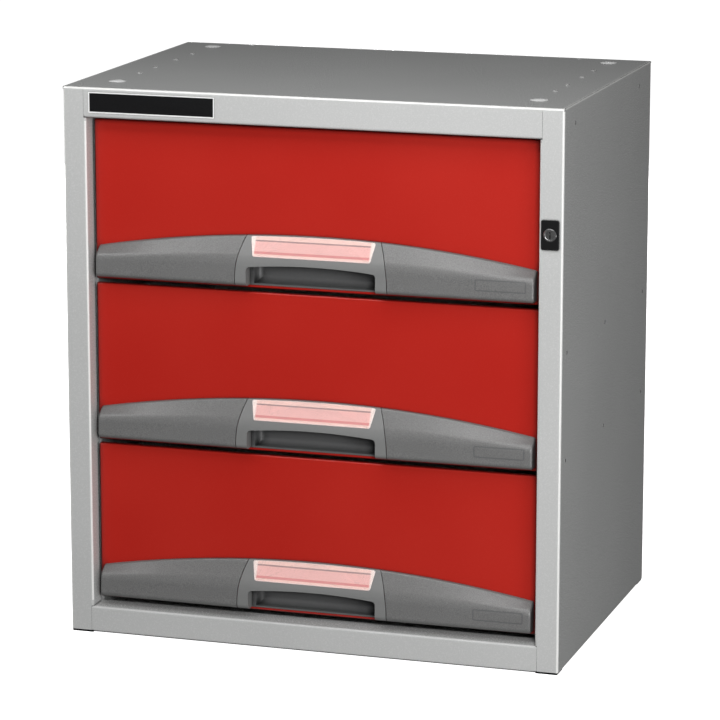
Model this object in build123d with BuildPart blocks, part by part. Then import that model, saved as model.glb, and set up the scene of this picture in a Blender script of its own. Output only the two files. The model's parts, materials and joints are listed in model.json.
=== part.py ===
from build123d import *
import math
import os

# A free-standing steel cabinet with three deep drawers, built at real size in millimetres.
# The origin is on the floor under the middle of the cabinet. The front looks along -Y, the right side is +X.

# Carcass
carcass_width = 640.0
carcass_depth = 450.0
carcass_height = 700.0
sheet = 1.2
bend_radius = 3.0
cut_overrun = 6.0

# Front frame
post_width = 30.0
post_return = 26.0
header_height = 37.7
rail_top = 35.0
rail_bottom = 1.0
header_lip = 18.0
rail_lip = 33.0
rear_flange = 20.0
base_flange = 18.0
frame_gap = 0.3
drawer_names = ("bottom_drawer", "middle_drawer", "top_drawer")

# Feet under the four corners
foot_height = 3.0
foot_inset = 0.9
foot_depth = 24.0
foot_plug = 12.0
foot_plug_wall = 2.5
foot_clearance = 0.4
foot_edge = 0.8

# Fixing holes in the sides and at the back of the top
fixing_radius = 2.5
fixing_front_inset = 24.0
fixing_rear_inset = 30.0
fixing_middle_share = 0.48
fixing_low = 266.0
fixing_high = 400.0
top_fixing_front_inset = 53.0
top_fixing_rear_inset = 67.0
top_fixing_drop = 24.0
ledge_hole_radius = 3.2
ledge_hole_side_inset = 94.0
ledge_hole_rear_inset = 11.0

# Caps and rivets on the top
cap_side_inset = 48.0
cap_front_inset = 63.0
cap_rear_inset = 37.0
cap_radius = 11.0
cap_dome = 1.6
cap_stem_radius = 8.0
cap_stem = 6.0
cap_clearance = 0.2
rivet_depth_shares = (0.311, 0.44, 0.604, 0.742)
rivet_head_radius = 3.6
rivet_dome = 1.4
rivet_shank_radius = 2.0
rivet_clearance = 0.1
rivet_tail = 1.6
stiffener_width = 36.0
stiffener_depth = 14.0
stiffener_overhang = 26.0

# Uprights that carry the slides
upright_front_inset = 35.0
upright_rear_inset = 61.0
upright_width = 36.0
upright_lip = 7.0
upright_foot = 24.0
upright_head = 10.0
perforation_pitch = 70.0
perforation_width = 4.0
perforation_height = 12.0
perforation_margin = 40.0

# Drawers
drawer_recess = 22.0
drawer_lift = 6.9
front_side_gap = 2.0
front_bottom_gap = 0.9
front_top_gap = 4.4
front_fold = 6.0
front_edge_radius = 2.5
front_corner_radius = 2.0
box_sheet = 1.0
box_floor = 3.5
box_top_gap = 30.0
box_rear_gap = 22.0
box_lip = 8.0
box_corner_radius = 4.0

# Telescopic slides, in three nested rails on each side
slide_width = 12.7
slide_height = 45.0
slide_level = 72.0
slide_front_inset = 37.0
slide_rear_inset = 13.0
rail_clearance = 0.4
rail_end_clearance = 1.5
rail_bend_radius = 2.0

# Handle, measured outwards from the drawer front and upwards from the handle's floor
handle_floor = 5.3
handle_side_gap = 5.0
handle_wall = 2.4
crown_height = 64.4
crown_depth = 3.5
crown_radius = 3.0
brow_height = 33.5
brow_depth = 17.0
brow_radius = 40.0
belly_depth = 18.0
foot_edge_radius = 6.0
wing_end_crown_drop = 1.5
wing_end_crown_depth = 3.0
wing_end_brow_height = 28.0
wing_end_brow_depth = 15.5
wing_end_brow_radius = 13.0
wing_end_belly_depth = 16.5
wing_end_radius = 3.0
arch_rise = 26.1
wing_overlap = 14.0
seam_top_half = 85.0
seam_bottom_half = 97.5
seam_bow = 4.0
seam_gap = 1.0
station_shares = (0, 0.5, 1)
boss_radius = 4.5
boss_height = 19.0
boss_depth = 15.2
boss_seam_inset = 33.0
boss_end_inset = 34.0

# Finger opening and the cup behind it
finger_half_width = 83.5
finger_height = 28.7
finger_bow = 4.5
finger_corner_radius = 5.0
cup_half_width = 80.5
cup_floor = 5.0
cup_height = 50.0
cup_depth = 17.0
cup_wall = 2.0
cup_corner_radius = 10.0
cup_flange = 2.5
cup_flange_thickness = 1.5
cup_clearance = 0.3

# Label on the sloped face above the finger opening
label_seam_inset = 4.0
label_taper = 5.0
label_top_inset = 0.6
label_bottom_inset = 4.6
label_corner_radius = 3.0
label_pocket = 1.5
label_clearance = 0.3
card_thickness = 0.3
window_thickness = 1.5
window_edge = 0.4

# Lock in the right post and the bar that it lifts
lock_side_inset = 16.0
lock_drop = 152.5
lock_plate_width = 22.0
lock_plate_height = 36.0
lock_plate_thickness = 2.0
lock_plate_corner = 2.0
lock_body_radius = 9.8
lock_body_length = 22.0
lock_body_clearance = 0.3
plug_radius = 8.0
plug_clearance = 0.1
plug_proud = 1.2
plug_rim = 0.8
plug_dish_inset = 2.0
plug_dish_depth = 0.9
key_slot_width = 2.0
key_slot_height = 9.0
key_slot_depth = 14.0
tail_size = 6.0
cam_thickness = 2.0
cam_gap = 2.5
cam_hub_radius = 7.0
cam_arm_radius = 4.0
cam_throw = 8.0
cam_swing = 90.0
cam_pin_radius = 2.0
cam_pin_clearance = 0.6
bar_width = 17.0
bar_thickness = 2.0
bar_side_inset = 13.5
bar_foot = 70.0
bar_head = 55.0
bar_gap = 0.3
tab_clearance = 3.7
tab_thickness = 2.0
tab_height = 9.0
tab_lap = 6.0
catch_drop = 48.0
catch_reach = 9.0
catch_height = 9.0
catch_thickness = 2.0
catch_play = 0.5
stud_radius = 2.5
stud_clearance = 0.4
stud_head_radius = 4.5
stud_head = 1.5
stud_inset = 20.0

# Places worked out from the sizes above
half_width = carcass_width / 2
half_depth = carcass_depth / 2
front_face = -half_depth
rear_face = half_depth
side_inner = half_width - sheet
opening_half = half_width - post_width
frame_joint = opening_half + bend_radius
opening_top = carcass_height - header_height
top_under = carcass_height - sheet
first_level = rail_top + drawer_lift
drawer_pitch = (opening_top - first_level) / len(drawer_names)
drawer_levels = {name: first_level + drawer_pitch * place for place, name in enumerate(drawer_names)}
panel_face = front_face + drawer_recess
panel_back = panel_face + sheet
panel_half = opening_half - front_side_gap
panel_top = drawer_pitch - front_top_gap
box_half = opening_half - slide_width
box_top = drawer_pitch - box_top_gap
slide_front = front_face + slide_front_inset
slide_length = carcass_depth - slide_front_inset - slide_rear_inset
upright_face = front_face + upright_front_inset
cap_x = half_width - cap_side_inset
cap_places = (front_face + cap_front_inset, rear_face - cap_rear_inset)
rivet_places = [front_face + carcass_depth * share for share in rivet_depth_shares]
handle_half_width = panel_half - handle_side_gap
arch_radius = (handle_half_width**2 + arch_rise**2) / (2 * arch_rise)
lock_x = half_width - lock_side_inset
lock_z = carcass_height - lock_drop
cam_lift = 2 * cam_throw * math.sin(math.radians(cam_swing / 2))
bar_back = upright_face - sheet - bar_gap
bar_face = bar_back - bar_thickness
bar_right = half_width - bar_side_inset
bar_left = bar_right - bar_width
bar_bottom = rail_top + bar_foot
bar_top = carcass_height - bar_head
cam_back = bar_face - cam_gap
catch_level = box_top - catch_drop


def across(y):
    return Plane.XZ.offset(-y)


def along(x):
    return Plane.YZ.offset(x)


def other_hand(part):
    return mirror(part, about=Plane.YZ)


def group(*parts):
    return Compound([solid for part in parts for solid in part.solids()])


os.makedirs("parts", exist_ok=True)


def save(part, name, level=0):
    placed = Pos(0, 0, level) * part
    placed.label = name
    export_step(placed, f"parts/{name}.step")


# Side panels, each folded from one sheet into a post, a side and a rear flange.
# The post's return is notched at both ends so that header and rail meet the post's flat face.
def side_panel(with_lock):
    fixing_places = (
        front_face + fixing_front_inset,
        front_face + carcass_depth * fixing_middle_share,
        rear_face - fixing_rear_inset,
    )
    with BuildPart() as panel:
        with BuildSketch(Plane.XY.offset(foot_height)):
            with BuildLine():
                FilletPolyline(
                    (opening_half, front_face + post_return),
                    (opening_half, front_face),
                    (half_width, front_face),
                    (half_width, rear_face),
                    (half_width - rear_flange, rear_face),
                    radius=bend_radius,
                )
                offset(amount=sheet, side=Side.LEFT)
            make_face()
        extrude(amount=top_under - foot_height)
        for fold in (front_face, rear_face):
            with BuildSketch(Plane.XY.offset(carcass_height)):
                with Locations((half_width, fold)):
                    Rectangle(2 * (post_width + cut_overrun), 2 * bend_radius)
            extrude(amount=-bend_radius, mode=Mode.SUBTRACT)
        notches = (
            (foot_height - cut_overrun, rail_top + frame_gap),
            (opening_top - frame_gap, carcass_height),
        )
        with BuildSketch(across(front_face - cut_overrun)):
            for low, high in notches:
                with Locations((opening_half, (low + high) / 2)):
                    Rectangle(2 * bend_radius, high - low)
        extrude(amount=-(post_return + 2 * cut_overrun), mode=Mode.SUBTRACT)
        with BuildSketch(along(side_inner - cut_overrun)):
            for row in (fixing_low, fixing_high):
                for place in fixing_places:
                    with Locations((place, row)):
                        Circle(fixing_radius)
            for place in (front_face + top_fixing_front_inset, rear_face - top_fixing_rear_inset):
                with Locations((place, carcass_height - top_fixing_drop)):
                    Circle(fixing_radius)
        extrude(amount=sheet + 2 * cut_overrun, mode=Mode.SUBTRACT)
        if with_lock:
            with BuildSketch(across(front_face - cut_overrun)):
                with Locations((lock_x, lock_z)):
                    Circle(lock_body_radius + lock_body_clearance)
            extrude(amount=-(sheet + 2 * cut_overrun), mode=Mode.SUBTRACT)
    return panel.part


save(side_panel(with_lock=True), "right_side_panel")
save(other_hand(side_panel(with_lock=False)), "left_side_panel")


# Top panel, folded down into the header at the front and a flange at the rear
with BuildPart() as top_panel:
    with BuildSketch(Plane.YZ):
        with BuildLine():
            FilletPolyline(
                (front_face + header_lip, opening_top),
                (front_face, opening_top),
                (front_face, carcass_height),
                (rear_face, carcass_height),
                (rear_face, carcass_height - rear_flange),
                radius=bend_radius,
            )
            offset(amount=sheet, side=Side.RIGHT)
        make_face()
    extrude(amount=half_width, both=True)
    with BuildSketch(Plane.XY.offset(carcass_height - bend_radius)):
        for side in (-half_width, half_width):
            with Locations((side, front_face)):
                Rectangle(2 * (half_width - frame_joint + frame_gap), 2 * (header_lip + cut_overrun))
            with Locations((side, rear_face)):
                Rectangle(2 * (rear_flange + frame_gap), 2 * (sheet + bend_radius))
    extrude(amount=-(header_height + cut_overrun), mode=Mode.SUBTRACT)
    with BuildSketch(Plane.XY.offset(top_under - cut_overrun)):
        for side in (-1, 1):
            for place in cap_places:
                with Locations((side * cap_x, place)):
                    Circle(cap_stem_radius + cap_clearance)
            for place in rivet_places:
                with Locations((side * cap_x, place)):
                    Circle(rivet_shank_radius + rivet_clearance)
            with Locations((side * (half_width - ledge_hole_side_inset), rear_face - ledge_hole_rear_inset)):
                Circle(ledge_hole_radius)
    extrude(amount=sheet + 2 * cut_overrun, mode=Mode.SUBTRACT)
save(top_panel.part, "top_panel")


# Base panel, a shallow tray between the sides with the bottom rail folded up at its front
with BuildPart() as base_panel:
    with BuildSketch(Plane.YZ):
        with BuildLine():
            FilletPolyline(
                (front_face + rail_lip, rail_top),
                (front_face, rail_top),
                (front_face, rail_bottom),
                (rear_face, rail_bottom),
                (rear_face, rail_bottom + rear_flange),
                radius=bend_radius,
            )
            offset(amount=sheet, side=Side.LEFT)
        make_face()
    extrude(amount=frame_joint - frame_gap, both=True)
    with BuildSketch(Plane.XY.offset(foot_height + frame_gap)):
        for side in (-half_width, half_width):
            with Locations((side, 0)):
                Rectangle(2 * (post_width + frame_gap), carcass_depth + 2 * cut_overrun)
    extrude(amount=-(foot_height + cut_overrun), mode=Mode.SUBTRACT)
    tray_front = front_face + post_return + foot_clearance
    tray_rear = rear_face - foot_inset - foot_depth - foot_clearance
    with BuildSketch(across(tray_front)):
        with BuildLine():
            FilletPolyline(
                (-side_inner, rail_bottom + base_flange),
                (-side_inner, rail_bottom),
                (side_inner, rail_bottom),
                (side_inner, rail_bottom + base_flange),
                radius=bend_radius,
            )
            offset(amount=sheet, side=Side.LEFT)
        make_face()
    extrude(amount=-(tray_rear - tray_front))
save(base_panel.part, "base_panel")


# Back panel, a flat sheet inside the rear flanges of the sides, top and base
with BuildPart() as back_panel:
    back_bottom = rail_bottom + bend_radius + frame_gap
    back_top = carcass_height - bend_radius - frame_gap
    with BuildSketch(across(rear_face - sheet)):
        with Locations((0, (back_bottom + back_top) / 2)):
            Rectangle(2 * (side_inner - bend_radius), back_top - back_bottom)
    extrude(amount=sheet)
save(back_panel.part, "back_panel")


# Uprights, hat-shaped channels on the side panels that carry the slides
def upright(near):
    far = near + upright_width
    web = opening_half + sheet
    length = top_under - upright_head - upright_foot
    perforation_count = 1 + int((length - 2 * perforation_margin - perforation_height) / perforation_pitch)
    with BuildPart() as channel:
        with BuildSketch(Plane.XY.offset(upright_foot)):
            with BuildLine():
                FilletPolyline(
                    (side_inner, near - upright_lip),
                    (side_inner, near),
                    (web, near),
                    (web, far),
                    (side_inner, far),
                    (side_inner, far + upright_lip),
                    radius=bend_radius,
                )
                offset(amount=sheet, side=Side.LEFT)
            make_face()
        extrude(amount=length)
        with BuildSketch(along(opening_half - cut_overrun)):
            with Locations(((near + far) / 2, upright_foot + length / 2)):
                with GridLocations(perforation_pitch, perforation_pitch, 1, perforation_count):
                    Rectangle(perforation_width, perforation_height)
        extrude(amount=sheet + 2 * cut_overrun, mode=Mode.SUBTRACT)
    return channel.part


upright_places = {"front": upright_face, "rear": rear_face - upright_rear_inset - upright_width}
for place, near in upright_places.items():
    right_upright = upright(near)
    save(right_upright, f"{place}_right_upright")
    save(other_hand(right_upright), f"{place}_left_upright")


# Feet, plastic glides plugged into the bottom of the four folded corners
with BuildPart() as corner_feet:
    with BuildSketch(Plane.XY):
        for side in (-1, 1):
            for end in (-1, 1):
                with Locations(
                    (
                        side * (half_width - post_width / 2),
                        end * (half_depth - foot_inset - foot_depth / 2),
                    )
                ):
                    Rectangle(post_width - 2 * foot_inset, foot_depth)
    extrude(amount=foot_height)
    chamfer(corner_feet.edges().group_by(Axis.Z)[0], length=foot_edge)
    plug_inset = 2 * sheet + foot_clearance
    with BuildSketch(Plane.XY.offset(foot_height)):
        for side in (-1, 1):
            for end in (-1, 1):
                with Locations(
                    (
                        side * (half_width - post_width / 2),
                        end * (half_depth - plug_inset - foot_depth / 2 + foot_clearance),
                    )
                ):
                    Rectangle(post_width - 2 * plug_inset, foot_depth - 2 * foot_clearance - plug_inset)
                    Rectangle(
                        post_width - 2 * (plug_inset + foot_plug_wall),
                        foot_depth - 2 * (foot_clearance + foot_plug_wall) - plug_inset,
                        mode=Mode.SUBTRACT,
                    )
    extrude(amount=foot_plug)
save(corner_feet.part, "corner_feet")


# Stiffeners under the top, with the rivets that hold them
with BuildPart() as top_stiffeners:
    first = rivet_places[0] - stiffener_overhang
    last = rivet_places[-1] + stiffener_overhang
    with BuildSketch(across(first)):
        for side in (-1, 1):
            with Locations((side * cap_x, top_under - stiffener_depth / 2)):
                Rectangle(stiffener_width, stiffener_depth)
            with Locations((side * cap_x, top_under - sheet - stiffener_depth / 2)):
                Rectangle(stiffener_width - 2 * sheet, stiffener_depth, mode=Mode.SUBTRACT)
    extrude(amount=-(last - first))
    with BuildSketch(Plane.XY.offset(top_under - sheet - cut_overrun)):
        for side in (-1, 1):
            for place in rivet_places:
                with Locations((side * cap_x, place)):
                    Circle(rivet_shank_radius + rivet_clearance)
    extrude(amount=sheet + 2 * cut_overrun, mode=Mode.SUBTRACT)
save(top_stiffeners.part, "top_stiffeners")


# A domed head on a straight stem, standing in a hole with its rim on the sheet
def domed_button(head_radius, dome, stem_radius, stem):
    with BuildPart() as button:
        with BuildSketch(Plane.XZ):
            with BuildLine():
                TangentArc((0, dome), (head_radius, 0), tangent=(1, 0))
                Polyline((head_radius, 0), (stem_radius, 0), (stem_radius, -stem), (0, -stem), (0, dome))
            make_face()
        revolve(axis=Axis.Z)
    return button.part


rivet = domed_button(rivet_head_radius, rivet_dome, rivet_shank_radius, 2 * sheet + rivet_tail)
cap = domed_button(cap_radius, cap_dome, cap_stem_radius, sheet + cap_stem)
with BuildPart() as top_rivets:
    for side in (-1, 1):
        for place in rivet_places:
            with Locations((side * cap_x, place, carcass_height)):
                add(rivet)
save(top_rivets.part, "top_rivets")

with BuildPart() as top_caps:
    for side in (-1, 1):
        for place in cap_places:
            with Locations((side * cap_x, place, carcass_height)):
                add(cap)
save(top_caps.part, "top_caps")


# Slide rails, three nested channels that share one centre line
def slide_rail(closed_x, open_x, half_height):
    with BuildPart() as rail:
        with BuildSketch(across(slide_front)):
            with BuildLine():
                FilletPolyline(
                    (open_x, slide_level + half_height),
                    (closed_x, slide_level + half_height),
                    (closed_x, slide_level - half_height),
                    (open_x, slide_level - half_height),
                    radius=rail_bend_radius,
                )
                offset(amount=sheet, side=Side.RIGHT if closed_x > open_x else Side.LEFT)
            make_face()
        extrude(amount=-slide_length)
    return rail.part


rail_step = sheet + rail_clearance
cabinet_rail = slide_rail(opening_half, box_half + rail_end_clearance, slide_height / 2)
middle_rail = slide_rail(
    opening_half - rail_step, box_half + rail_end_clearance, slide_height / 2 - rail_step
)
drawer_rail = slide_rail(
    box_half, opening_half - rail_step - sheet - rail_clearance, slide_height / 2 - 2 * rail_step
)


# Drawer front, a pan of painted sheet with rolled edges and a window for the finger cup
with BuildPart() as drawer_front:
    with BuildSketch(across(panel_face)):
        with Locations((0, (front_bottom_gap + panel_top) / 2)):
            RectangleRounded(2 * panel_half, panel_top - front_bottom_gap, front_corner_radius)
    extrude(amount=-front_fold)
    fillet(drawer_front.faces().sort_by(Axis.Y)[0].edges(), radius=front_edge_radius)
    offset(amount=-sheet, openings=drawer_front.faces().sort_by(Axis.Y)[-1])
    with BuildSketch(across(panel_face - cut_overrun)):
        with Locations((0, cup_floor + cup_height / 2)):
            Rectangle(2 * (cup_half_width + cup_clearance), cup_height + 2 * cup_clearance)
    extrude(amount=-(sheet + 2 * cut_overrun), mode=Mode.SUBTRACT)


# Drawer box, a folded tray with a turned-in rim
with BuildPart() as drawer_box:
    box_rear = rear_face - box_rear_gap
    box_length = box_rear - panel_back
    box_middle = (panel_back + box_rear) / 2
    with BuildSketch(Plane.XY.offset(box_floor)):
        with Locations((0, box_middle)):
            RectangleRounded(2 * box_half, box_length, box_corner_radius)
    extrude(amount=box_top - box_floor)
    with BuildSketch(Plane.XY.offset(box_floor + box_sheet)):
        with Locations((0, box_middle)):
            RectangleRounded(
                2 * (box_half - box_sheet), box_length - 2 * box_sheet, box_corner_radius - box_sheet
            )
    extrude(amount=box_top - box_floor - 2 * box_sheet, mode=Mode.SUBTRACT)
    with BuildSketch(Plane.XY.offset(box_top - box_sheet)):
        with Locations((0, box_middle)):
            Rectangle(2 * (box_half - box_lip), box_length - 2 * box_lip)
    extrude(amount=cut_overrun, mode=Mode.SUBTRACT)
    with BuildSketch(across(panel_back - cut_overrun)):
        with Locations((0, cup_floor + cup_height / 2)):
            Rectangle(2 * (cup_half_width + cup_clearance), cup_height + 2 * cup_clearance)
    extrude(amount=-(box_sheet + 2 * cut_overrun), mode=Mode.SUBTRACT)

# Catch, a lug welded to the right wall of the box for the lock's bar to hold
with BuildPart() as box_catch:
    with BuildSketch(across(bar_face + catch_play)):
        with Locations((box_half + catch_reach / 2, catch_level)):
            Rectangle(catch_reach, catch_height)
    extrude(amount=-catch_thickness)


# Handle, one hooded section that sinks along a wide arch and changes shape towards the outer ends
def between(seam_value, end_value, share):
    return seam_value + (end_value - seam_value) * share


def arch_drop(x):
    return arch_radius - math.sqrt(arch_radius**2 - x**2)


def grip_section(x, wall):
    share = max(0, (abs(x) - seam_top_half) / (handle_half_width - seam_top_half))
    height = crown_height - arch_drop(x)
    crown = height - between(0, wing_end_crown_drop, share)
    rear = panel_face + (cut_overrun if wall else 0)
    inner_face = panel_face + wall
    floor = handle_floor + wall
    ridge = (rear, handle_floor + height - wall)
    shoulder = (inner_face - between(crown_depth, wing_end_crown_depth, share), handle_floor + crown - wall)
    brow = (
        inner_face - between(brow_depth, wing_end_brow_depth, share),
        handle_floor + between(brow_height, wing_end_brow_height, share),
    )
    foot = (inner_face - between(belly_depth, wing_end_belly_depth, share), floor)
    heel = (rear, floor)
    bends = [
        crown_radius - wall,
        between(brow_radius, wing_end_brow_radius, share),
        foot_edge_radius - wall,
    ]
    with BuildSketch(along(x)) as section:
        with BuildLine():
            FilletPolyline(ridge, shoulder, brow, foot, heel, radius=bends)
            Line(heel, ridge)
        make_face()
    return section.sketch


def grip_sections(start, end, wall):
    return [grip_section(between(start, end, share), wall) for share in station_shares]


# The bridge seen from the front: two bowed seams that lean in towards the top
def bridge_outline(gap):
    low = handle_floor - cut_overrun
    top = handle_floor + crown_height
    high = top + cut_overrun
    head = seam_top_half + gap
    foot = seam_bottom_half + gap
    waist = (seam_top_half + seam_bottom_half) / 2 + seam_bow + gap
    with BuildSketch(across(panel_face + cut_overrun)) as outline:
        with BuildLine():
            for side in (-1, 1):
                Line((side * foot, low), (side * foot, handle_floor))
                ThreePointArc(
                    (side * foot, handle_floor),
                    (side * waist, (handle_floor + top) / 2),
                    (side * head, top),
                )
                Line((side * head, top), (side * head, high))
            Line((-foot, low), (foot, low))
            Line((-head, high), (head, high))
        make_face()
    return outline.sketch


with BuildPart() as handle_right:
    wing_start = seam_top_half - wing_overlap
    loft(grip_sections(wing_start, handle_half_width, 0))
    outer_end = handle_right.faces().sort_by(Axis.X)[-1]
    fillet(outer_end.edges().sort_by(Axis.Y)[:-2], radius=wing_end_radius)
    loft(
        grip_sections(wing_start - cut_overrun, handle_half_width - handle_wall, handle_wall),
        mode=Mode.SUBTRACT,
    )
    with BuildSketch(across(panel_face)):
        for place in (seam_bottom_half + boss_seam_inset, handle_half_width - boss_end_inset):
            with Locations((place, handle_floor + boss_height)):
                Circle(boss_radius)
    extrude(amount=boss_depth)
    extrude(bridge_outline(seam_gap), amount=drawer_recess + 2 * cut_overrun, mode=Mode.SUBTRACT)


# Label, lying on the bridge's slope as it is at the label's ends, its top edge bowed like the bridge
label_top_half = seam_top_half - label_seam_inset
label_bottom_half = label_top_half - label_taper
label_crown = crown_height - arch_drop(label_top_half)
label_rise = label_crown - brow_height
label_run = brow_depth - crown_depth
label_slope = math.hypot(label_rise, label_run)
label_height = label_slope - label_top_inset - label_bottom_inset
label_bow = arch_drop(label_top_half) * label_rise / label_slope


def label_plane(depth):
    place = (label_top_inset + label_height / 2) / label_slope
    face = Plane(
        origin=(
            0,
            panel_face - crown_depth - label_run * place,
            handle_floor + label_crown - label_rise * place,
        ),
        x_dir=(1, 0, 0),
        z_dir=(0, -label_rise, label_run),
    )
    return face.offset(-depth)


def label_outline(depth, margin):
    top = label_height / 2 - margin
    top_right = (label_top_half - margin, top)
    top_left = (margin - label_top_half, top)
    with BuildSketch(label_plane(depth)) as outline:
        with BuildLine():
            ThreePointArc(top_left, (0, top + label_bow), top_right)
            Polyline(
                top_right,
                (label_bottom_half - margin, -top),
                (margin - label_bottom_half, -top),
                top_left,
            )
        make_face()
        fillet(outline.vertices(), radius=label_corner_radius - margin)
    return outline.sketch


# Hollow of the bridge, parted by a wall on each side of the finger opening
centre_half = seam_bottom_half + wing_overlap
with BuildPart() as bridge_hollow:
    loft(grip_sections(-centre_half - cut_overrun, centre_half + cut_overrun, handle_wall))
    with BuildSketch(across(panel_face + cut_overrun)):
        for side in (-1, 1):
            with Locations((side * (finger_half_width + handle_wall / 2), handle_floor + crown_height / 2)):
                Rectangle(handle_wall, crown_height)
    extrude(amount=drawer_recess + 2 * cut_overrun, mode=Mode.SUBTRACT)


# Handle centre, a bridge over the fingers with a sloped seat for the label
with BuildPart() as handle_centre:
    loft(grip_sections(-centre_half, centre_half, 0))
    add(bridge_hollow.part, mode=Mode.SUBTRACT)
    opening_side = handle_floor + finger_height - finger_bow
    opening_foot = handle_floor - cut_overrun
    with BuildSketch(across(panel_face)) as finger_opening:
        with BuildLine():
            ThreePointArc(
                (-finger_half_width, opening_side),
                (0, handle_floor + finger_height),
                (finger_half_width, opening_side),
            )
            Polyline(
                (finger_half_width, opening_side),
                (finger_half_width, opening_foot),
                (-finger_half_width, opening_foot),
                (-finger_half_width, opening_side),
            )
        make_face()
        fillet(finger_opening.vertices().group_by(Axis.Y)[-1], radius=finger_corner_radius)
    extrude(amount=drawer_recess + cut_overrun, mode=Mode.SUBTRACT)
    extrude(label_outline(label_pocket, 0), amount=label_pocket + cut_overrun, mode=Mode.SUBTRACT)
    extrude(bridge_outline(0), amount=drawer_recess + 2 * cut_overrun, mode=Mode.INTERSECT)

with BuildPart() as label_card:
    extrude(label_outline(label_pocket, label_clearance), amount=card_thickness)

with BuildPart() as label_window:
    extrude(label_outline(label_pocket - card_thickness, label_clearance), amount=window_thickness)
    chamfer(label_window.faces().sort_by(Axis.Y)[0].edges(), length=window_edge)


# Finger cup, a rounded pocket through the drawer front with a flange behind the handle
with BuildPart() as finger_cup:
    cup_middle = cup_floor + cup_height / 2
    with BuildSketch(across(panel_face)):
        with Locations((0, cup_middle)):
            Rectangle(2 * cup_half_width, cup_height)
    extrude(amount=-cup_depth)
    fillet(finger_cup.faces().sort_by(Axis.Y)[-1].edges(), radius=cup_corner_radius)
    offset(amount=-cup_wall, openings=finger_cup.faces().sort_by(Axis.Y)[0])
    with BuildSketch(across(panel_face)):
        with Locations((0, cup_floor)):
            Rectangle(
                2 * (cup_half_width + cup_flange),
                cup_height + cup_flange,
                align=(Align.CENTER, Align.MIN),
            )
        with Locations((0, cup_middle)):
            Rectangle(2 * (cup_half_width - cup_wall), cup_height - 2 * cup_wall, mode=Mode.SUBTRACT)
    extrude(amount=cup_flange_thickness)


# Every drawer is the same set of pieces on its own level
for drawer, level in drawer_levels.items():
    save(drawer_front.part, f"{drawer}_front", level)
    save(group(drawer_box.part, box_catch.part), f"{drawer}_box", level)
    save(handle_right.part, f"{drawer}_handle_right", level)
    save(other_hand(handle_right.part), f"{drawer}_handle_left", level)
    save(handle_centre.part, f"{drawer}_handle_centre", level)
    save(finger_cup.part, f"{drawer}_finger_cup", level)
    save(label_card.part, f"{drawer}_label_card", level)
    save(label_window.part, f"{drawer}_label_window", level)
    for rail, rail_name in (
        (cabinet_rail, "cabinet_rail"),
        (middle_rail, "middle_rail"),
        (drawer_rail, "drawer_rail"),
    ):
        save(rail, f"{drawer}_right_{rail_name}", level)
        save(other_hand(rail), f"{drawer}_left_{rail_name}", level)


# Lock housing, a plate on the post with a barrel behind it
with BuildPart() as lock_housing:
    with BuildSketch(across(front_face)):
        with Locations((lock_x, lock_z)):
            RectangleRounded(lock_plate_width, lock_plate_height, lock_plate_corner)
    extrude(amount=lock_plate_thickness)
    with BuildSketch(across(front_face)):
        with Locations((lock_x, lock_z)):
            Circle(lock_body_radius)
    extrude(amount=-lock_body_length)
    with BuildSketch(across(front_face - lock_plate_thickness - cut_overrun)):
        with Locations((lock_x, lock_z)):
            Circle(plug_radius + plug_clearance)
    extrude(amount=-(lock_plate_thickness + lock_body_length + 2 * cut_overrun), mode=Mode.SUBTRACT)
save(lock_housing.part, "lock_housing")


# Lock plug, a turning barrel with a dished face, a key slot and a square tail for the cam
with BuildPart() as lock_plug:
    plug_face = front_face - lock_plate_thickness - plug_proud
    plug_back = front_face + lock_body_length
    with BuildSketch(across(plug_face)):
        with Locations((lock_x, lock_z)):
            Circle(plug_radius)
    extrude(amount=-(plug_back - plug_face))
    chamfer(lock_plug.faces().sort_by(Axis.Y)[0].edges(), length=plug_rim)
    with BuildSketch(across(plug_face)):
        with Locations((lock_x, lock_z)):
            Circle(plug_radius - plug_dish_inset)
    extrude(amount=-plug_dish_depth, mode=Mode.SUBTRACT)
    with BuildSketch(across(plug_face)):
        with Locations((lock_x, lock_z)):
            Rectangle(key_slot_width, key_slot_height)
    extrude(amount=-key_slot_depth, mode=Mode.SUBTRACT)
    with BuildSketch(across(plug_back)):
        with Locations((lock_x, lock_z)):
            Rectangle(tail_size, tail_size)
    extrude(amount=-(cam_back - plug_back))
save(lock_plug.part, "lock_plug")


# Lock cam, an arm on the plug's tail with a pin that lifts the bar
with BuildPart() as lock_cam:
    swing_start = math.radians(180 + cam_swing / 2)
    pin_x = lock_x + cam_throw * math.cos(swing_start)
    pin_z = lock_z + cam_throw * math.sin(swing_start)
    with BuildSketch(across(cam_back - cam_thickness)):
        with Locations((lock_x, lock_z)):
            Circle(cam_hub_radius)
        with Locations((pin_x, pin_z)):
            Circle(cam_arm_radius)
        make_hull()
        with Locations((lock_x, lock_z)):
            Rectangle(tail_size, tail_size, mode=Mode.SUBTRACT)
    extrude(amount=-cam_thickness)
    with BuildSketch(across(cam_back)):
        with Locations((pin_x, pin_z)):
            Circle(cam_pin_radius)
    extrude(amount=-(cam_gap + bar_thickness))
save(lock_cam.part, "lock_cam")


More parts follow.
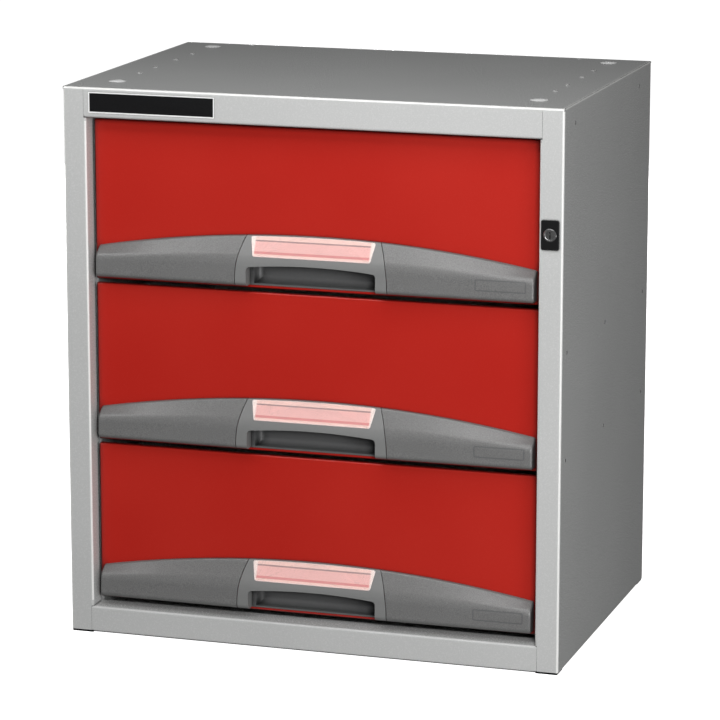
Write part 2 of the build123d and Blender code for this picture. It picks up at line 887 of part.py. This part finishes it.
# Lock bar, a flat strip with a plate welded on for each drawer, shown lowered as when unlocked
with BuildPart() as lock_bar:
    bar_middle = bar_left + bar_width / 2
    slot_travel = cam_throw - cam_throw * math.cos(math.radians(cam_swing / 2))
    with BuildSketch(across(bar_face)):
        with Locations((bar_middle, (bar_bottom + bar_top) / 2)):
            Rectangle(bar_width, bar_top - bar_bottom)
        with Locations((pin_x - slot_travel / 2, pin_z)):
            SlotCenterToCenter(
                slot_travel, 2 * (cam_pin_radius + cam_pin_clearance), mode=Mode.SUBTRACT
            )
        for end in (bar_bottom + stud_inset, bar_top - stud_inset):
            with Locations((bar_middle, end)):
                SlotCenterToCenter(
                    cam_lift, 2 * (stud_radius + stud_clearance), rotation=90, mode=Mode.SUBTRACT
                )
    extrude(amount=-bar_thickness)
with BuildPart() as lock_bar_tabs:
    tab_start = box_half + tab_clearance
    tab_end = bar_left + tab_lap
    with BuildSketch(across(bar_face)):
        for level in drawer_levels.values():
            with Locations(((tab_start + tab_end) / 2, level + catch_level - cam_lift)):
                Rectangle(tab_end - tab_start, tab_height)
    extrude(amount=tab_thickness)
save(group(lock_bar.part, lock_bar_tabs.part), "lock_bar")


# Studs on the upright that guide the bar, standing at the top of its slots when it is down
with BuildPart() as lock_bar_studs:
    stud_seat = upright_face - sheet
    head_seat = bar_face - bar_gap
    stud_ends = (bar_bottom + stud_inset + cam_lift / 2, bar_top - stud_inset + cam_lift / 2)
    with BuildSketch(across(stud_seat)):
        for end in stud_ends:
            with Locations((bar_middle, end)):
                Circle(stud_radius)
    extrude(amount=stud_seat - head_seat)
    with BuildSketch(across(head_seat)):
        for end in stud_ends:
            with Locations((bar_middle, end)):
                Circle(stud_head_radius)
    extrude(amount=stud_head)
save(lock_bar_studs.part, "lock_bar_studs")
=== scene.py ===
import bpy
import bmesh
import json
import math
from mathutils import Matrix, Vector
from mathutils.bvhtree import BVHTree


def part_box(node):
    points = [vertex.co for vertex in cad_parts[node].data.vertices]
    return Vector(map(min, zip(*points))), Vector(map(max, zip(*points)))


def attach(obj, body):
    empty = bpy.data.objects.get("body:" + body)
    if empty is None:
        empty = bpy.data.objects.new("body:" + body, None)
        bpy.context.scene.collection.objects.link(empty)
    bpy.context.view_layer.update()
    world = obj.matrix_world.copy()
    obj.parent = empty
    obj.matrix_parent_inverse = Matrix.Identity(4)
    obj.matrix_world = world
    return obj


# Steel drawer cabinet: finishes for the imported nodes, the small trim, studio light and the camera.

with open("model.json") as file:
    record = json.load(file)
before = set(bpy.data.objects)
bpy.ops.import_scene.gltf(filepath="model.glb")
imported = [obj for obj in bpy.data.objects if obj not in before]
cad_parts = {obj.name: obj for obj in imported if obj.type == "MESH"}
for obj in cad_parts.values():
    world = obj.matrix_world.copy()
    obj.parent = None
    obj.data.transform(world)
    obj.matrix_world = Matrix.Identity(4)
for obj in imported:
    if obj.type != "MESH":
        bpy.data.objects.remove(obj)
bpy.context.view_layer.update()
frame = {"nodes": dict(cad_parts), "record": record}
nodes = frame["nodes"]
drawers = ("top_drawer", "middle_drawer", "bottom_drawer")
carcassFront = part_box("top_panel")[0].y
print("frame loaded:", len(nodes), "nodes")


# Material helpers. In a look, a noise is its scale, detail and roughness, a bump its strength and height.

noiseBand = (0.3, 0.7)  # where most values of a noise lie
edgeBand = (0.99, 0.8)  # cosine of the turn over an edge, from plain to full painted edge highlight
edgeSamples = 4
shelterBand = (0.85, 0.5)  # openness of a spot, from unshaded to full painted shade
shelterSamples = 6


def startMaterial(name):
    material = bpy.data.materials.new(name)
    material.use_nodes = True
    tree = material.node_tree
    shader = tree.nodes["Principled BSDF"]
    coords = tree.nodes.new("ShaderNodeTexCoord").outputs["Object"]
    return material, tree, shader, coords


def addNoise(tree, coords, scale, detail, roughness=0.55):
    noise = tree.nodes.new("ShaderNodeTexNoise")
    noise.inputs["Scale"].default_value = scale
    noise.inputs["Detail"].default_value = detail
    noise.inputs["Roughness"].default_value = roughness
    tree.links.new(coords, noise.inputs["Vector"])
    return noise.outputs["Fac"]


def addStretch(tree, coords, scale):
    mapping = tree.nodes.new("ShaderNodeMapping")
    mapping.inputs["Scale"].default_value = scale
    tree.links.new(coords, mapping.inputs["Vector"])
    return mapping.outputs["Vector"]


def addSplit(tree, vector):
    split = tree.nodes.new("ShaderNodeSeparateXYZ")
    tree.links.new(vector, split.inputs["Vector"])
    return split.outputs


def addRange(tree, value, fromBand, toBand=(0.0, 1.0)):
    ranger = tree.nodes.new("ShaderNodeMapRange")
    for socket, limit in zip(("From Min", "From Max", "To Min", "To Max"), (*fromBand, *toBand)):
        ranger.inputs[socket].default_value = limit
    tree.links.new(value, ranger.inputs["Value"])
    return ranger.outputs["Result"]


def addMath(tree, operation, *values):
    node = tree.nodes.new("ShaderNodeMath")
    node.operation = operation
    for socket, value in zip(node.inputs, values):
        if isinstance(value, float):
            socket.default_value = value
        else:
            tree.links.new(value, socket)
    return node.outputs["Value"]


def addBlend(tree, factor, first, second):
    mixer = tree.nodes.new("ShaderNodeMix")
    mixer.data_type = "RGBA"
    sockets = (mixer.inputs["Factor"], mixer.inputs[6], mixer.inputs[7])  # 6 and 7 are the two colours
    for socket, value in zip(sockets, (factor, first, second)):
        if isinstance(value, tuple):
            socket.default_value = value
        else:
            tree.links.new(value, socket)
    return mixer.outputs[2]  # the blended colour


def addBump(tree, height, strength, distance):
    bump = tree.nodes.new("ShaderNodeBump")
    bump.inputs["Strength"].default_value = strength
    bump.inputs["Distance"].default_value = distance
    tree.links.new(height, bump.inputs["Height"])
    return bump.outputs["Normal"]


def addEdge(tree, radius):
    rounded = tree.nodes.new("ShaderNodeBevel")
    rounded.samples = edgeSamples
    rounded.inputs["Radius"].default_value = radius
    plain = tree.nodes.new("ShaderNodeNewGeometry")
    dot = tree.nodes.new("ShaderNodeVectorMath")
    dot.operation = "DOT_PRODUCT"
    tree.links.new(rounded.outputs["Normal"], dot.inputs[0])
    tree.links.new(plain.outputs["Normal"], dot.inputs[1])
    return addRange(tree, dot.outputs["Value"], edgeBand)


# Painted highlight: edges lightened to stand in for the shine along bends and rims
def addEdgeHighlight(tree, colour, look):
    highlightShare = addMath(tree, "MULTIPLY", addEdge(tree, look["highlightWidth"]), look["highlightAmount"])
    return addBlend(tree, highlightShare, colour, look["speckAndHighlightColour"])


# Painted shade in tight places: corners, seams, holes and the strips under overhangs darkened where shade
# falls
def addPaintedShade(tree, colour, look):
    shelter = tree.nodes.new("ShaderNodeAmbientOcclusion")
    shelter.samples = shelterSamples
    shelter.inputs["Distance"].default_value = look["shadeReach"]
    sheltered = addRange(tree, shelter.outputs["AO"], shelterBand)
    paintedShadeShare = addMath(tree, "MULTIPLY", sheltered, look["shadeAmount"])
    return addBlend(tree, paintedShadeShare, colour, look["shadeColour"])


def linkSurface(tree, shader, colour, roughness, normal):
    tree.links.new(colour, shader.inputs["Base Color"])
    tree.links.new(roughness, shader.inputs["Roughness"])
    tree.links.new(normal, shader.inputs["Normal"])


# Painted highlight: bright glint lines along the outer folded edges of the carcass and the upright edges
# of its front opening
def addFoldHighlights(tree, colour, coords, look):
    place = addSplit(tree, coords)
    across = addMath(tree, "ABSOLUTE", place["X"])
    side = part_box("right_side_panel")[1].x
    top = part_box("top_panel")[1].z
    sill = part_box("bottom_drawer_front")[0].z
    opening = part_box("top_drawer_front")[1]
    width = look["foldWidth"]
    fade = width / 2
    nearSide = addRange(tree, across, (side - width, side - fade))
    nearTop = addRange(tree, place["Z"], (top - width, top - fade))
    nearFront = addRange(tree, place["Y"], (carcassFront + width, carcassFront + fade))
    nearOpening = addRange(tree, across, (opening.x + width + fade, opening.x + width))
    aboveSill = addMath(tree, "GREATER_THAN", place["Z"], sill)
    belowHeader = addMath(tree, "LESS_THAN", place["Z"], opening.z)
    nearOpening = addMath(tree, "MULTIPLY", nearOpening, aboveSill)
    nearOpening = addMath(tree, "MULTIPLY", nearOpening, belowHeader)
    folds = addMath(tree, "MULTIPLY", nearSide, nearTop)
    for near in (nearSide, nearTop, nearOpening):
        folds = addMath(tree, "MAXIMUM", folds, addMath(tree, "MULTIPLY", near, nearFront))
    shine = addMath(tree, "MULTIPLY", folds, look["foldHighlightAmount"])
    return addBlend(tree, shine, colour, look["foldHighlightColour"])


# Painted shade in each hole pierced through the side sheets: the hole walls painted near black, partly as
# their raw cut edge, mostly as the shade inside the hole
def addHoleShade(tree, colour, coords, look):
    across = addMath(tree, "ABSOLUTE", addSplit(tree, coords)["X"])
    facing = addSplit(tree, tree.nodes.new("ShaderNodeNewGeometry").outputs["Normal"])["X"]
    sideways = addMath(tree, "ABSOLUTE", facing)
    outer = addMath(tree, "GREATER_THAN", across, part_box("right_side_panel")[1].x - look["holeDepth"])
    turned = addMath(tree, "LESS_THAN", sideways, look["holeFacing"])
    return addBlend(tree, addMath(tree, "MULTIPLY", outer, turned), colour, look["shadeColour"])


# Powder coat: a faint cloudiness, pale specks, fine orange peel, painted highlights along the edges and
# painted shade in tight places
def powderCoat(name, look):
    material, tree, shader, coords = startMaterial(name)
    cloud = addRange(tree, addNoise(tree, coords, *look["cloudNoise"]), noiseBand)
    colour = addBlend(tree, cloud, look["colour"], look["cloudColour"])
    specks = addNoise(tree, coords, *look["speckNoise"])
    speckTone = addRange(tree, specks, look["speckBand"], look["speckTone"])
    colour = addBlend(tree, speckTone, colour, look["speckAndHighlightColour"])
    # Painted highlight along the edges
    colour = addEdgeHighlight(tree, colour, look)
    # Painted shade in tight places
    colour = addPaintedShade(tree, colour, look)
    if look["folded"]:
        # Painted highlight along the folds
        colour = addFoldHighlights(tree, colour, coords, look)
        # Painted shade inside the holes of the side sheets
        colour = addHoleShade(tree, colour, coords, look)
    peel = addNoise(tree, coords, *look["peelNoise"])
    gloss = addRange(tree, peel, noiseBand, look["roughness"])
    linkSurface(tree, shader, colour, gloss, addBump(tree, peel, *look["peelBump"]))
    shader.inputs["Specular IOR Level"].default_value = look["specular"]
    return material


carcassLook = {
    "colour": (0.44, 0.444, 0.44, 1.0),
    "cloudColour": (0.465, 0.469, 0.465, 1.0),
    "cloudNoise": (5.0, 2.0),
    "speckNoise": (900.0, 1.0),
    "speckBand": (0.62, 0.72),
    "speckTone": (0.0, 0.15),
    # the painted edge highlight and the painted shade in tight places; the first colour also tints the
    # pale specks
    "speckAndHighlightColour": (0.68, 0.68, 0.67, 1.0),
    "highlightWidth": 0.0008,
    "highlightAmount": 0.15,
    "shadeColour": (0.04, 0.04, 0.04, 1.0),
    "shadeReach": 0.004,
    "shadeAmount": 0.9,
    "peelNoise": (700.0, 2.0),
    "peelBump": (0.07, 0.0004),
    "roughness": (0.22, 0.3),
    "specular": 0.5,
    "folded": True,
    # the painted glint highlight along the folds
    "foldHighlightColour": (0.85, 0.85, 0.83, 1.0),
    "foldWidth": 0.003,
    "foldHighlightAmount": 0.7,
    "holeDepth": 0.0008,
    "holeFacing": 0.5,
}
innerLook = dict(
    carcassLook,
    colour=(0.36, 0.364, 0.364, 1.0),
    cloudColour=(0.385, 0.389, 0.389, 1.0),
    highlightAmount=0.1,
    folded=False,
)
drawerLook = {
    "colour": (0.385, 0.0118, 0.0068, 1.0),
    "cloudColour": (0.42, 0.0175, 0.0107, 1.0),
    "cloudNoise": (4.0, 2.0),
    "speckNoise": (800.0, 1.0),
    "speckBand": (0.62, 0.72),
    "speckTone": (0.0, 0.06),
    # the painted edge highlight, a pink glint on the rolled edges, and the painted shade under the wings
    # and in gaps
    "speckAndHighlightColour": (0.7, 0.13, 0.1, 1.0),
    "highlightWidth": 0.0012,
    "highlightAmount": 0.35,
    "shadeColour": (0.03, 0.0015, 0.001, 1.0),
    "shadeReach": 0.014,
    "shadeAmount": 0.85,
    "peelNoise": (620.0, 2.0),
    "peelBump": (0.1, 0.0004),
    "roughness": (0.28, 0.36),
    "specular": 0.5,
    "folded": False,
}


# Moulded plastic: a spark-eroded grain on the wings, a smooth satin skin elsewhere, painted highlights
# along the edges and painted shade in tight places
def mouldedPlastic(name, look):
    material, tree, shader, coords = startMaterial(name)
    flow = addStretch(tree, coords, look["driftStretch"])
    drift = addRange(tree, addNoise(tree, flow, *look["driftNoise"]), noiseBand)
    colour = addBlend(tree, drift, look["colour"], look["driftColour"])
    grain = addNoise(tree, coords, *look["grainNoise"])
    tone = addRange(tree, grain, look["grainBand"], look["grainTone"])
    colour = addBlend(tree, tone, colour, look["grainColour"])
    # Painted highlight along the edges
    colour = addEdgeHighlight(tree, colour, look)
    # Painted shade in tight places and under the wings
    colour = addPaintedShade(tree, colour, look)
    gloss = addRange(tree, grain, noiseBand, look["roughness"])
    linkSurface(tree, shader, colour, gloss, addBump(tree, grain, *look["grainBump"]))
    shader.inputs["Specular IOR Level"].default_value = look["specular"]
    return material


gripLook = {
    "colour": (0.094, 0.094, 0.093, 1.0),
    "driftColour": (0.106, 0.106, 0.105, 1.0),
    "driftStretch": (2.0, 9.0, 9.0),
    "driftNoise": (4.0, 3.0),
    "grainColour": (0.19, 0.19, 0.188, 1.0),
    "grainNoise": (950.0, 4.0, 0.65),
    "grainBand": (0.35, 0.65),
    "grainTone": (0.0, 0.85),
    "grainBump": (0.25, 0.0005),
    # the painted edge highlight and the painted shade in tight places and under the wings
    "speckAndHighlightColour": (0.22, 0.22, 0.218, 1.0),
    "highlightWidth": 0.0012,
    "highlightAmount": 0.3,
    "shadeColour": (0.012, 0.012, 0.012, 1.0),
    "shadeReach": 0.012,
    "shadeAmount": 0.6,
    "roughness": (0.28, 0.38),
    "specular": 0.6,
}
bridgeLook = dict(
    gripLook,
    colour=(0.155, 0.157, 0.155, 1.0),
    driftColour=(0.17, 0.172, 0.17, 1.0),
    grainColour=(0.2, 0.202, 0.2, 1.0),
    grainTone=(0.0, 0.25),
    grainBump=(0.12, 0.0005),
    roughness=(0.36, 0.46),
)
cupLook = dict(
    gripLook,
    colour=(0.08, 0.081, 0.082, 1.0),
    driftColour=(0.09, 0.091, 0.092, 1.0),
    grainColour=(0.11, 0.111, 0.112, 1.0),
    grainBump=(0.15, 0.0005),
    speckAndHighlightColour=(0.12, 0.12, 0.125, 1.0),
    shadeColour=(0.004, 0.004, 0.004, 1.0),
    shadeReach=0.016,
    shadeAmount=0.9,
    roughness=(0.34, 0.46),
)
blackLook = dict(
    cupLook,
    colour=(0.004, 0.004, 0.0044, 1.0),
    driftColour=(0.005, 0.005, 0.0055, 1.0),
    grainColour=(0.009, 0.009, 0.0096, 1.0),
    grainBump=(0.1, 0.0005),
    highlightAmount=0.2,
    roughness=(0.3, 0.42),
    specular=0.3,
)
capLook = dict(
    gripLook,
    colour=(0.72, 0.725, 0.72, 1.0),
    driftColour=(0.76, 0.765, 0.76, 1.0),
    grainColour=(0.8, 0.8, 0.795, 1.0),
    grainBump=(0.08, 0.0005),
    speckAndHighlightColour=(0.85, 0.85, 0.85, 1.0),
    roughness=(0.3, 0.4),
)


# Bare metal: zinc with drawn lines along the rails, pale rivets, and a painted highlight lightening every
# edge, brightest as the rim of the lock face
def bareMetal(name, look):
    material, tree, shader, coords = startMaterial(name)
    drawn = addNoise(tree, addStretch(tree, coords, look["lineStretch"]), *look["lineNoise"])
    patch = addRange(tree, addNoise(tree, coords, *look["patchNoise"]), look["patchBand"])
    colour = addBlend(tree, patch, look["colour"], look["patchColour"])
    # Painted highlight along the edges
    colour = addBlend(tree, addEdge(tree, look["rimHighlightWidth"]), colour, look["rimHighlightColour"])
    gloss = addRange(tree, drawn, noiseBand, look["roughness"])
    linkSurface(tree, shader, colour, gloss, addBump(tree, drawn, *look["lineBump"]))
    shader.inputs["Metallic"].default_value = 1.0
    return material


zincLook = {
    "colour": (0.56, 0.57, 0.58, 1.0),
    "patchColour": (0.66, 0.67, 0.68, 1.0),
    "patchNoise": (140.0, 2.0),
    "patchBand": (0.35, 0.65),
    "rimHighlightColour": (0.75, 0.76, 0.77, 1.0),
    "rimHighlightWidth": 0.0006,
    "lineStretch": (1.0, 0.03, 1.0),
    "lineNoise": (900.0, 4.0, 0.6),
    "lineBump": (0.15, 0.0002),
    "roughness": (0.28, 0.42),
}
rivetLook = dict(
    zincLook,
    colour=(0.8, 0.8, 0.79, 1.0),
    patchColour=(0.88, 0.88, 0.87, 1.0),
    lineStretch=(1.0, 1.0, 1.0),
    roughness=(0.55, 0.7),
)
lockLook = dict(
    zincLook,
    colour=(0.3, 0.3, 0.302, 1.0),
    patchColour=(0.45, 0.45, 0.452, 1.0),
    rimHighlightColour=(0.95, 0.95, 0.95, 1.0),
    rimHighlightWidth=0.0008,
    lineStretch=(1.0, 1.0, 1.0),
    lineNoise=(1500.0, 4.0, 0.6),
    lineBump=(0.08, 0.0002),
    roughness=(0.25, 0.4),
)


# Label card: tinted paper with printed lines along it, pale stripes at its top and bottom and pale ends;
# the pale stripes and ends are a painted highlight on the cover's rim
def paperCard(name, look):
    material, tree, shader, coords = startMaterial(name)
    place = addSplit(tree, coords)
    above = addMath(tree, "SUBTRACT", place["Z"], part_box("bottom_drawer_label_card")[0].z)
    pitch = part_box("middle_drawer_label_card")[0].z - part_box("bottom_drawer_label_card")[0].z
    height = addMath(tree, "MODULO", above, pitch)  # above the foot of each drawer's own card
    fibre = addNoise(tree, coords, *look["fibreNoise"])
    colour = addBlend(tree, addRange(tree, fibre, noiseBand), look["colour"], look["fibreColour"])
    fadeStart, fadeEnd = look["bandFade"]
    for level, width, bandColour in look["bands"]:
        away = addMath(tree, "ABSOLUTE", addMath(tree, "SUBTRACT", height, level))
        band = addRange(tree, away, (width * fadeStart, width * fadeEnd))
        colour = addBlend(tree, band, colour, bandColour)
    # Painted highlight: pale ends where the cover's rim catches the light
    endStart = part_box("bottom_drawer_label_card")[1].x - look["endWidth"]
    across = addMath(tree, "ABSOLUTE", place["X"])
    ends = addRange(tree, across, (endStart, endStart + look["endFade"]))
    colour = addBlend(tree, ends, colour, look["endHighlightColour"])
    gloss = addRange(tree, fibre, noiseBand, look["roughness"])
    linkSurface(tree, shader, colour, gloss, addBump(tree, fibre, *look["fibreBump"]))
    return material


cardLook = {
    "colour": (0.75, 0.37, 0.34, 1.0),
    "fibreColour": (0.8, 0.42, 0.39, 1.0),
    "fibreNoise": (1300.0, 4.0, 0.7),
    "fibreBump": (0.2, 0.0001),
    "roughness": (0.7, 0.85),
    "bands": (  # middle height, width and colour
        # the two pale entries paint the highlight along the cover's top and bottom edges; the dark and red
        # ones are printed lines
        (0.0235, 0.009, (0.83, 0.52, 0.46, 1.0)),
        (0.0015, 0.006, (0.83, 0.52, 0.46, 1.0)),
        (0.019, 0.0018, (0.28, 0.15, 0.14, 1.0)),
        (0.0051, 0.003, (0.62, 0.16, 0.15, 1.0)),
    ),
    "bandFade": (0.6, 0.4),  # shares of a band's width
    "endHighlightColour": (0.87, 0.72, 0.67, 1.0),
    "endWidth": 0.0068,
    "endFade": 0.002,
}


# Clear cover over the label: a little smeared, with a painted highlight at its edges, where the pale cover
# turns more opaque
def clearCover(name, look):
    material, tree, shader, coords = startMaterial(name)
    smear = addNoise(tree, coords, *look["smearNoise"])
    tint = addBlend(tree, addRange(tree, smear, noiseBand), look["colour"], look["smearColour"])
    gloss = addRange(tree, smear, noiseBand, look["roughness"])
    linkSurface(tree, shader, tint, gloss, addBump(tree, smear, *look["smearBump"]))
    # Painted highlight: the pale cover turns more opaque along its edges
    rim = addEdge(tree, look["rimHighlightWidth"])
    tree.links.new(addRange(tree, rim, (0.0, 1.0), look["cover"]), shader.inputs["Alpha"])
    return material


coverLook = {
    "colour": (0.93, 0.9, 0.89, 1.0),
    "smearColour": (0.88, 0.83, 0.82, 1.0),
    "smearNoise": (60.0, 3.0),
    "smearBump": (0.05, 0.0005),
    "roughness": (0.08, 0.16),
    # the opacity at the edges paints the highlight on the cover's rim
    "cover": (0.15, 0.8),  # opacity in the middle and at the edges
    "rimHighlightWidth": 0.002,
}

finishes = {
    "carcass_paint": powderCoat("carcass_powder_coat", carcassLook),
    "inner_paint": powderCoat("inner_powder_coat", innerLook),
    "drawer_paint": powderCoat("drawer_powder_coat", drawerLook),
    "grip_plastic": mouldedPlastic("grip_grain", gripLook),
    "bridge_plastic": mouldedPlastic("bridge_satin", bridgeLook),
    "cup_plastic": mouldedPlastic("cup_satin", cupLook),
    "black_plastic": mouldedPlastic("black_satin", blackLook),
    "cap_plastic": mouldedPlastic("cap_satin", capLook),
    "zinc_steel": bareMetal("zinc_plate", zincLook),
    "lock_metal": bareMetal("lock_face", lockLook),
    "label_card": paperCard("label_paper", cardLook),
    "label_window": clearCover("label_cover", coverLook),
}
ownFinishes = {"top_rivets": bareMetal("rivet_alloy", rivetLook)}
for row in frame["record"]["subparts"]:
    mesh = nodes[row["node"]].data
    mesh.materials.clear()
    mesh.materials.append(ownFinishes.get(row["node"]) or finishes[row["material_slot"]])
print("finishes:", len(finishes) + len(ownFinishes))


# Small pieces of trim

def finishPiece(name, shape, body, materials):
    bmesh.ops.recalc_face_normals(shape, faces=shape.faces)
    mesh = bpy.data.meshes.new(name)
    shape.to_mesh(mesh)
    shape.free()
    for material in materials:
        mesh.materials.append(material)
    piece = bpy.data.objects.new(name, mesh)
    bpy.context.scene.collection.objects.link(piece)
    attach(piece, body)


def findMiddle(size):
    return (size["left"] + size["right"]) / 2, (size["bottom"] + size["top"]) / 2


# A blank plate on the header, with a pale raised rim
headerPlate = {
    "left": -0.286,
    "right": -0.121,
    "bottom": 0.6685,
    "top": 0.6945,
    "thickness": 0.0007,
    "corner": 0.0012,
    "cornerSegments": 4,
    "rim": 0.0013,
    "step": 0.0002,
    "sink": 0.00015,
}


def makeHeaderPlate(size):
    shape = bmesh.new()
    bmesh.ops.create_cube(shape, size=1.0)
    width = size["right"] - size["left"]
    height = size["top"] - size["bottom"]
    bmesh.ops.scale(shape, vec=(width, size["thickness"], height), verts=shape.verts)
    corners = [e for e in shape.edges if abs((e.verts[0].co - e.verts[1].co).y) > size["thickness"] / 2]
    bmesh.ops.bevel(shape, geom=corners, offset=size["corner"], segments=size["cornerSegments"],
                    profile=0.5, affect="EDGES", material=-1)
    face = min(shape.faces, key=lambda f: f.calc_center_median().y)
    bmesh.ops.inset_region(shape, faces=[face], thickness=size["rim"], depth=0.0)
    bmesh.ops.inset_region(shape, faces=[face], thickness=size["step"], depth=-size["sink"])
    face.material_index = 1
    middleX, middleZ = findMiddle(size)
    middle = Vector((middleX, carcassFront - size["thickness"] / 2, middleZ))
    bmesh.ops.translate(shape, vec=middle, verts=shape.verts)
    return shape


finishPiece("header_plate", makeHeaderPlate(headerPlate), "carcass",
            [finishes["cap_plastic"], finishes["black_plastic"]])


# A thin line round the blank field at the outer end of each right wing
gripField = {
    "left": 0.209,
    "right": 0.273,
    "bottom": 0.0165,
    "top": 0.0308,
    "line": 0.0014,
    "corner": 0.002,
    "cornerSegments": 4,
    "cutsAcross": 16,
    "cutsUp": 6,
    "standOff": 0.05,  # in front of the carcass, before the line is laid on the wing
    "proud": 0.00015,
    "depth": 0.0005,
}


def makeGripField(size, wing, level):
    shape = bmesh.new()
    bmesh.ops.create_grid(shape, x_segments=1, y_segments=1, size=0.5)
    width = size["right"] - size["left"]
    height = size["top"] - size["bottom"]
    bmesh.ops.scale(shape, vec=(width, height, 1.0), verts=shape.verts)
    bmesh.ops.rotate(shape, matrix=Matrix.Rotation(math.pi / 2, 3, "X"), verts=shape.verts)
    bmesh.ops.bevel(shape, geom=shape.verts[:], offset=size["corner"], segments=size["cornerSegments"],
                    profile=0.5, affect="VERTICES", material=-1)
    field = shape.faces[:]
    bmesh.ops.inset_region(shape, faces=field, thickness=size["line"],
                           use_boundary=True, use_even_offset=True)
    bmesh.ops.delete(shape, geom=field, context="FACES_ONLY")
    across = Vector((1.0, 0.0, 0.0))
    up = Vector((0.0, 0.0, 1.0))
    for direction, cuts in ((across, size["cutsAcross"]), (up, size["cutsUp"])):
        runs = [e for e in shape.edges if abs((e.verts[1].co - e.verts[0].co).dot(direction)) > height / 2]
        bmesh.ops.subdivide_edges(shape, edges=runs, cuts=cuts, use_grid_fill=True)
    middleX, middleZ = findMiddle(size)
    middle = Vector((middleX, carcassFront - size["standOff"], level + middleZ))
    bmesh.ops.translate(shape, vec=middle, verts=shape.verts)
    surface = BVHTree.FromObject(wing, bpy.context.evaluated_depsgraph_get())
    inward = Vector((0.0, 1.0, 0.0))
    for vert in shape.verts:
        vert.co = surface.ray_cast(vert.co, inward)[0] - inward * size["proud"]
    bmesh.ops.recalc_face_normals(shape, faces=shape.faces)
    bmesh.ops.solidify(shape, geom=shape.faces[:], thickness=size["depth"])
    return shape


for drawer in drawers:
    outline = makeGripField(gripField, nodes[f"{drawer}_handle_right"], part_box(f"{drawer}_front")[0].z)
    finishPiece(f"{drawer}_grip_outline", outline, drawer, [finishes["cup_plastic"]])
print("trim made:", 1 + len(drawers), "pieces")


# Studio: a pale floor, a soft sky and the lamps
studio = {
    "floorSize": 40.0,
    "floorColour": (0.8, 0.8, 0.8, 1.0),
    "floorNoise": (3.0, 3.0),
    "floorRoughness": (0.55, 0.65),
    "floorGlow": 1.3,
    "skyColour": (1.0, 1.0, 1.0, 1.0),
    "skyStrength": 0.05,
}
lamps = {
    "key_softbox": {
        "place": (1.7, -3.6, 1.75),
        "aim": (0.0, -0.2, 0.4),
        "size": (1.2, 1.2),
        "power": 124.0,
    },
    "side_fill": {
        "place": (1.5, -1.3, 0.15),
        "aim": (0.3, 0.0, 0.3),
        "size": (0.7, 0.7),
        "power": 13.0,
    },
    "front_strip": {
        "place": (-0.36, -1.37, 1.75),
        "aim": (0.0, -0.2, 0.4),
        "size": (2.0, 0.1),
        "power": 12.0,
    },
    "top_softbox": {
        "place": (0.1, -0.7, 1.5),
        "aim": (0.1, -0.2, 0.6),
        "size": (1.2, 0.3),
        "power": 4.0,
    },
    "left_fill": {
        "place": (-2.6, 0.2, 0.33),
        "aim": (-0.3, 0.0, 0.33),
        "size": (1.0, 0.6),
        "power": 14.0,
    },
    "back_fill": {
        "place": (-1.2, 3.4, 0.33),
        "aim": (0.0, 0.2, 0.33),
        "size": (1.2, 0.6),
        "power": 70.0,
    },
}


# The floor glows white for the camera and is hidden from bounced light, so the undersides stay dark
def makeFloor(look):
    shape = bmesh.new()
    bmesh.ops.create_grid(shape, x_segments=1, y_segments=1, size=look["floorSize"] / 2)
    mesh = bpy.data.meshes.new("floor")
    shape.to_mesh(mesh)
    shape.free()
    material, tree, shader, coords = startMaterial("floor_paper")
    gloss = addRange(tree, addNoise(tree, coords, *look["floorNoise"]), noiseBand, look["floorRoughness"])
    tree.links.new(gloss, shader.inputs["Roughness"])
    shader.inputs["Base Color"].default_value = look["floorColour"]
    shader.inputs["Emission Color"].default_value = look["floorColour"]
    shader.inputs["Emission Strength"].default_value = look["floorGlow"]
    mesh.materials.append(material)
    floor = bpy.data.objects.new("floor", mesh)
    bpy.context.scene.collection.objects.link(floor)
    floor.visible_diffuse = False
    floor.visible_glossy = False


def makeLamp(name, look):
    lamp = bpy.data.lights.new(name, "AREA")
    lamp.shape = "RECTANGLE"
    lamp.size, lamp.size_y = look["size"]
    lamp.energy = look["power"]
    holder = bpy.data.objects.new(name, lamp)
    bpy.context.scene.collection.objects.link(holder)
    holder.location = look["place"]
    aim = Vector(look["aim"]) - Vector(look["place"])
    holder.rotation_euler = aim.to_track_quat("-Z", "Y").to_euler()


makeFloor(studio)
for lampName, lampLook in lamps.items():
    makeLamp(lampName, lampLook)
world = bpy.data.worlds.new("sky")
world.use_nodes = True
sky = world.node_tree.nodes["Background"]
sky.inputs["Color"].default_value = studio["skyColour"]
sky.inputs["Strength"].default_value = studio["skyStrength"]
bpy.context.scene.world = world
bpy.context.scene.view_settings.view_transform = "Standard"

# Camera: a long lens from the front right and a little above
shot = {
    "place": (1.36612, -4.31985, 1.32325),
    "pitch": 0.2163,
    "yaw": 0.3075,
    "lens": 179.84,
    "sensor": 36.0,
}
lens = bpy.data.cameras.new("camera")
lens.lens = shot["lens"]
lens.sensor_width = shot["sensor"]
camera = bpy.data.objects.new("camera", lens)
bpy.context.scene.collection.objects.link(camera)
camera.location = shot["place"]
camera.rotation_euler = (math.pi / 2 - shot["pitch"], 0.0, shot["yaw"])
bpy.context.scene.camera = camera
print("studio and camera set:", len(lamps), "lamps")
